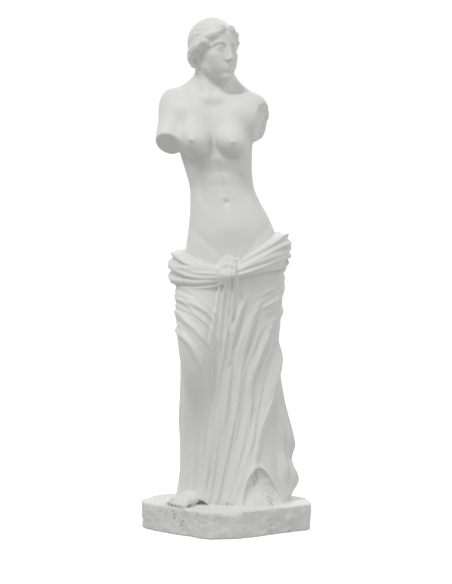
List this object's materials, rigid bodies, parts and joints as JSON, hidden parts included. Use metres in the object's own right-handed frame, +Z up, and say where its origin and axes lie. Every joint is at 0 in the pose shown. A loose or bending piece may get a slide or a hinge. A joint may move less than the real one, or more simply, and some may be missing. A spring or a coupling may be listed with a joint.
{
  "type": "statue",
  "caption": "Standing half-draped classical female figure without arms, head turned aside, cast in one with a low rough-sided plinth.",
  "frame": {"origin": "middle of the plinth's underside, on the surface that the statue stands on", "axes": "+Z up the figure, +X to the viewer's right, the figure faces -Y"},
  "size_m": [0.2969, 0.237, 0.8848],
  "materials": {
    "white_cast": "matt white cast plaster and resin, with faint grain and grey dust in the folds"
  },
  "bodies": {
    "root": {"statue": "white_cast"}
  },
  "joints": []
}
